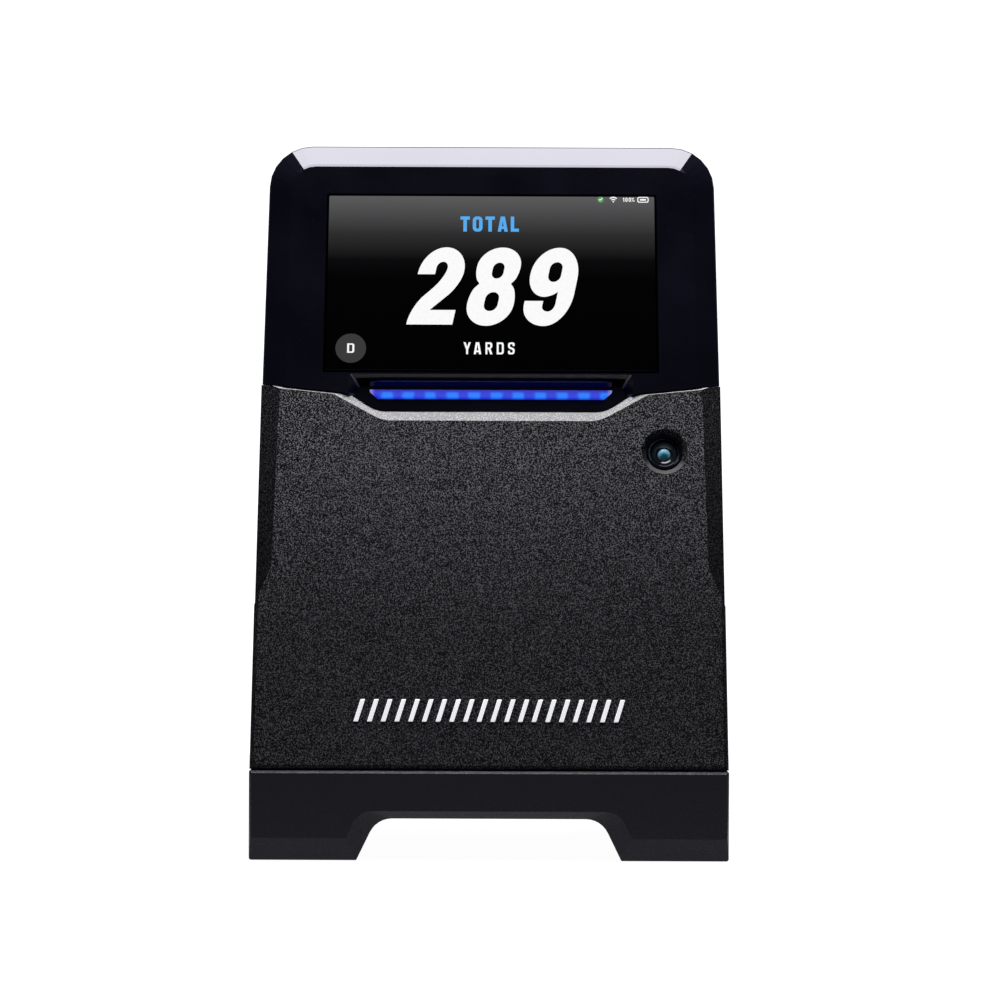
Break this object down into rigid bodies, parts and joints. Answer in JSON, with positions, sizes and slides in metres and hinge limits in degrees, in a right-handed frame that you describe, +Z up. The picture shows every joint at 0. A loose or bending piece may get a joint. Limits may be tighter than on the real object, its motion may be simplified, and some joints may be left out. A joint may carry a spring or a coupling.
{
  "type": "golf launch monitor",
  "caption": "Upright wedge-shaped golf launch monitor with a glossy display hood, light bar, camera, arched base, and a fold-out rear tilt leg.",
  "frame": {"origin": "middle of the footprint, on the surface that the unit stands on", "axes": "+Z up, the display and camera face -Y, +X to the right as seen from the front"},
  "size_m": [0.1648, 0.084, 0.254],
  "materials": {
    "gloss_black": "piano-black gloss",
    "grained_black": "coarse moulded grain",
    "satin_black": "fine satin",
    "black_rubber": "matte",
    "dark_glass": "polished, dark",
    "coated_lens": "coated glass",
    "blue_diffuser": "lit translucent blue",
    "bright_chrome": "bright plated",
    "plain_steel": "zinc plated",
    "aluminium": "plain sheet and extrusion",
    "green_board": "solder mask on glass-fibre board",
    "battery_wrap": "shrink wrap",
    "amber_flex": "polyimide film"
  },
  "bodies": {
    "housing": {"display_hood": "gloss_black", "front_cover": "grained_black", "rear_cover": "grained_black", "case_gasket": "black_rubber", "base_frame": "satin_black", "foot_pad_front_left": "black_rubber", "foot_pad_front_right": "black_rubber", "foot_pad_rear_left": "black_rubber", "foot_pad_rear_right": "black_rubber", "display_window": "dark_glass", "display_gasket": "black_rubber", "display_panel": "dark_glass", "display_ribbon": "amber_flex", "light_bar": "blue_diffuser", "light_bar_board": "green_board", "light_bar_cable": "black_rubber", "front_badge": "bright_chrome", "camera_bezel": "gloss_black", "camera_window": "dark_glass", "camera_barrel": "satin_black", "camera_lens": "coated_lens", "camera_board": "green_board", "camera_cable": "black_rubber", "radar_board": "green_board", "radar_shield": "plain_steel", "radar_cable": "black_rubber", "chassis": "aluminium", "battery_pack": "battery_wrap", "battery_bracket": "aluminium", "battery_cable": "black_rubber", "main_board": "green_board", "processor_shield": "plain_steel", "heat_sink": "aluminium", "wifi_antenna": "amber_flex", "usb_port": "plain_steel", "usb_tongue": "satin_black", "power_switch": "satin_black", "leg_pin": "plain_steel", "leg_washer_left": "satin_black", "leg_washer_right": "satin_black", "port_door_pin": "plain_steel", "case_screw_low_left": "plain_steel", "case_screw_low_right": "plain_steel", "case_screw_high_left": "plain_steel", "case_screw_high_right": "plain_steel", "base_screw_front_left": "plain_steel", "base_screw_front_right": "plain_steel", "base_screw_rear_left": "plain_steel", "base_screw_rear_right": "plain_steel", "board_screw_low_left": "plain_steel", "board_screw_low_right": "plain_steel", "board_screw_high_left": "plain_steel", "board_screw_high_right": "plain_steel"},
    "tilt_leg_body": {"tilt_leg": "satin_black", "leg_tip": "black_rubber"},
    "port_door_body": {"port_door": "black_rubber"},
    "power_button_body": {"power_button": "satin_black"}
  },
  "joints": [
    {"name": "tilt_leg_hinge", "type": "hinge", "parent": "housing", "child": "tilt_leg_body", "pos_m": [0, 0.0385, 0.044], "axis": [-1, 0, 0], "range_deg": [0, 125]},
    {"name": "port_door_hinge", "type": "hinge", "parent": "housing", "child": "port_door_body", "pos_m": [-0.05, 0.0395, 0.13], "axis": [-1, 0, 0], "range_deg": [0, 105]},
    {"name": "power_button_press", "type": "slide", "parent": "housing", "child": "power_button_body", "axis": [0, -1, 0], "range_m": [0, 0.0008], "stiffness_N_per_m": 900, "springref_m": -0.0004}
  ]
}
